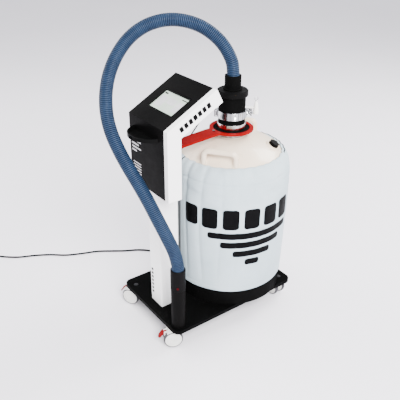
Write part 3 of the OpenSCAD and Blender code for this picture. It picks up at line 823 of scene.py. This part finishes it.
def slab(bm, front, back):
    """Closed thin slab between two grids of points of the same size."""
    sheets = [[[bm.verts.new(p) for p in row] for row in grid] for grid in (front, back)]
    top, low = sheets
    rows, columns = len(top), len(top[0])
    for j in range(rows - 1):
        for k in range(columns - 1):
            bm.faces.new((top[j][k], top[j][k + 1], top[j + 1][k + 1], top[j + 1][k]))
            bm.faces.new((low[j][k], low[j + 1][k], low[j + 1][k + 1], low[j][k + 1]))
    rim = [(0, k) for k in range(columns)] + [(j, columns - 1) for j in range(1, rows)]
    rim += [(rows - 1, k) for k in range(columns - 2, -1, -1)]
    rim += [(j, 0) for j in range(rows - 2, 0, -1)]
    for (a, b), (c, d) in zip(rim, rim[1:] + rim[:1]):
        bm.faces.new((top[a][b], low[a][b], low[c][d], top[c][d]))


def rounded_grid(width, height, radius, step):
    """Rows of (across, up) points that fill a rounded rectangle."""
    rows = max(8, round(height / step))
    columns = max(4, round(width / step))
    round_ended = radius > height / 3
    grid = []
    for j in range(rows + 1):
        if round_ended:
            up = -height / 2 * math.cos(math.pi * j / rows)
        else:
            up = height * (j / rows - 0.5)
        beyond = max(0, abs(up) - (height / 2 - radius))
        half = width / 2 - radius + math.sqrt(max(0, radius * radius - beyond * beyond))
        grid.append([(half * (2 * k / columns - 1), up) for k in range(columns + 1)])
    return grid


def make_jacket_print():
    """Plain blocks and bars on the front of the jacket: (along, z, width, height, corner)."""
    blocks = [(-0.205 + 0.082 * k, 0.497, 0.062, 0.084, 0.012) for k in range(6)]
    sizes = ((0.36, 0.425), (0.26, 0.385), (0.16, 0.345), (0.06, 0.305))
    bars = [(0, z, width, 0.026, 0.009) for width, z in sizes]
    bm = bmesh.new()

    def point(middle, along, z, lift):
        theta = math.radians(middle) + along / JACKET_R
        return on_jacket(theta, radius_at_height(z), z, lift)

    for marks, middle in ((blocks, -27), (bars, -15)):
        for along, z, width, height, corner in marks:
            rows = rounded_grid(width, height, corner, 0.003)
            front, back = (
                [[point(middle, along + x, z + up, lift) for x, up in row] for row in rows]
                for lift in (0.0014, -0.0006)
            )
            slab(bm, front, back)
    from_bmesh("jacket_print", bm, finish_of["print_black"])


def cord_on_jacket(name, points, radius):
    """Thin dark cord sewn on along the points."""
    piece = tube(name, points, lambda i: radius, 8, finish_of["cord_black"])


def make_jacket_trims():
    """Dark piping along part of the rim and the closure beside it."""
    rim = JACKET_LINE[-4]
    arc = [on_jacket(math.radians(a), rim.x, rim.y, 0.0006) for a in range(42, 116, 2)]
    cord_on_jacket("jacket_piping", arc, 0.0024)
    closure = [p for p in JACKET_LINE if p.y > JACKET_LOW.z + 0.872 * JACKET_H]
    line = [on_jacket(math.radians(-97), p.x, p.y, 0.0004) for p in closure]
    cord_on_jacket("jacket_closure", line, 0.0022)


make_jacket()
make_jacket_print()
make_jacket_trims()


# ---- plain marks in place of the printed ones ----


HEAD_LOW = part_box("head_shell")[0]
HEAD_BEND = 0.880  # height at which the head's front starts to slope
SLOPE = math.radians(28.35)
ACROSS = Vector((1, 0, 0))
UPRIGHT = Vector((0, 0, 1))
UP_SLOPE = Vector((0, math.cos(SLOPE), math.sin(SLOPE)))


def mark(bm, centre, right, up, width, height, corner=0.001):
    """Rounded thin slab on a flat face; right x up points out of the face."""
    right = right.normalized()
    up = up.normalized()
    out = right.cross(up)
    grids = [
        [
            [Vector(centre) + right * a + up * b + out * lift for a, b in row]
            for row in rounded_grid(width, height, corner, 0.05)
        ]
        for lift in (0.0004, -0.0004)
    ]
    slab(bm, *grids)


def make_head_marks():
    """Two groups of white bars on the head's upright front."""
    bm = bmesh.new()
    for width, z in ((0.060, 0.785), (0.046, 0.772), (0.060, 0.759), (0.030, 0.746)):
        place = (HEAD_LOW.x + 0.014 + width / 2, HEAD_LOW.y, z)
        mark(bm, place, ACROSS, UPRIGHT, width, 0.006)
    for z in (0.700, 0.690, 0.680, 0.670, 0.660):
        mark(bm, (HEAD_LOW.x + 0.044, HEAD_LOW.y, z), ACROSS, UPRIGHT, 0.052, 0.0032)
    from_bmesh("head_marks", bm, finish_of["print_white"])


def make_panel_marks():
    """Dark blocks along the slanted arm of the white side panel."""
    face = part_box("side_panel")[1].x
    up = ACROSS.cross(UP_SLOPE)
    start = Vector((face, HEAD_LOW.y, HEAD_BEND)) - up * 0.027
    bm = bmesh.new()
    for k in range(7):
        mark(bm, start + UP_SLOPE * (0.050 + 0.021 * k), UP_SLOPE, up, 0.015, 0.020)
    from_bmesh("panel_marks", bm, finish_of["print_black"])


def make_column_marks():
    """Dark blocks one above the other on the front of the column."""
    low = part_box("column_cover")[0]
    bm = bmesh.new()
    for k in range(7):
        mark(bm, (low.x + 0.016, low.y, 0.140 + 0.018 * k), ACROSS, UPRIGHT, 0.012, 0.011)
    from_bmesh("column_marks", bm, finish_of["print_black"])


def make_screen_panels():
    """Plain fields on the lit screen: (across, up the slope, width, height)."""
    centre = centre_of("touch_screen") + ACROSS.cross(UP_SLOPE) * 0.003
    fields = {
        "print_black": [(-0.058, 0.033, 0.018, 0.006), (0.050, 0.033, 0.030, 0.004)],
        "print_white": [
            (-0.046, -0.004, 0.040, 0.050),
            (0.004, 0.008, 0.046, 0.026),
            (0.052, -0.004, 0.034, 0.050),
        ],
    }
    for slot, places in fields.items():
        bm = bmesh.new()
        for across, up, width, height in places:
            place = centre + Vector((across, 0, 0)) + UP_SLOPE * up
            mark(bm, place, ACROSS, UP_SLOPE, width, height, 0.002)
        from_bmesh(f"screen_{slot}", bm, finish_of[slot])


make_head_marks()
make_panel_marks()
make_column_marks()
make_screen_panels()


# ---- welds ----

# The dewar's shoulder is half an ellipsoid
DOME_R = 0.218
DOME_FOOT = 0.640
DOME_H = 0.110
NECK_R = 0.053  # where the shoulder meets the neck


def bead(name, place, direction, reach, thick):
    """Ring of weld metal round a post, seen as a soft painted fillet."""
    inner, outer = reach - thick, reach + thick
    ring = [(inner, -thick, thick), (outer, -thick, thick)]
    ring += [(outer, thick, thick), (inner, thick, thick)]
    turn = turned((0, 0, 0), direction)
    piece = lathe(name, ring, place, finish_of["cream_paint"], turn=turn, segments=48)


def make_welds():
    """Beads round the neck and round the feet of both handles."""

    def dome_height(r):
        return DOME_FOOT + DOME_H * math.sqrt(1 - (r / DOME_R) ** 2)

    def on_dome(x, y):
        z = dome_height(math.hypot(x, y))
        normal = Vector((x / DOME_R**2, y / DOME_R**2, (z - DOME_FOOT) / DOME_H**2))
        return Vector((x, DEWAR_Y + y, z)), normal

    bead("weld_neck", Vector((0, DEWAR_Y, dome_height(NECK_R))), (0, 0, 1), 0.0535, 0.0028)
    for k, around in enumerate((-52, 128)):
        turn = Matrix.Rotation(math.radians(around), 3, "Z")
        for letter, side in (("a", -1), ("b", 1)):
            foot = turn @ Vector((0.177, side * 0.060, 0))
            place, normal = on_dome(foot.x, foot.y)
            bead(f"weld_handle_{k}_{letter}", place, normal, 0.0122, 0.0024)


make_welds()


# ---- stage ----


def make_stage():
    """Pale floor, an even white sky and three soft lamps."""
    bm = bmesh.new()
    bmesh.ops.create_grid(bm, x_segments=2, y_segments=2, size=9)
    mesh = bpy.data.meshes.new("floor")
    bm.to_mesh(mesh)
    bm.free()
    floor = bpy.data.objects.new("floor", mesh)
    floor.location.z = -0.0005  # just under the wheels
    bpy.context.scene.collection.objects.link(floor)
    mesh.materials.append(Finish("floor", (244, 240, 245), (240, 236, 242), 0.8, 0.7).material)
    world = bpy.data.worlds.new("studio")
    world.use_nodes = True
    sky = world.node_tree.nodes["Background"]
    sky.inputs["Color"].default_value = (0.94, 0.95, 1.0, 1)
    sky.inputs["Strength"].default_value = 1.5
    bpy.context.scene.world = world
    aim = Vector((0, 0, 0.5))
    lamps = (  # name, place, size and power
        ("key", (3.0, -1.0, 3.0), 1.8, 480),
        ("fill", (-2.8, -1.6, 2.6), 2.4, 110),
        ("back", (0.2, 3.0, 3.0), 2.0, 230),
    )
    for name, place, size, power in lamps:
        light = bpy.data.lights.new(name, "AREA")
        light.size = size
        light.energy = power
        lamp = bpy.data.objects.new(name, light)
        lamp.location = place
        lamp.rotation_mode = "QUATERNION"
        lamp.rotation_quaternion = (aim - Vector(place)).to_track_quat("-Z", "Y")
        bpy.context.scene.collection.objects.link(lamp)


make_stage()
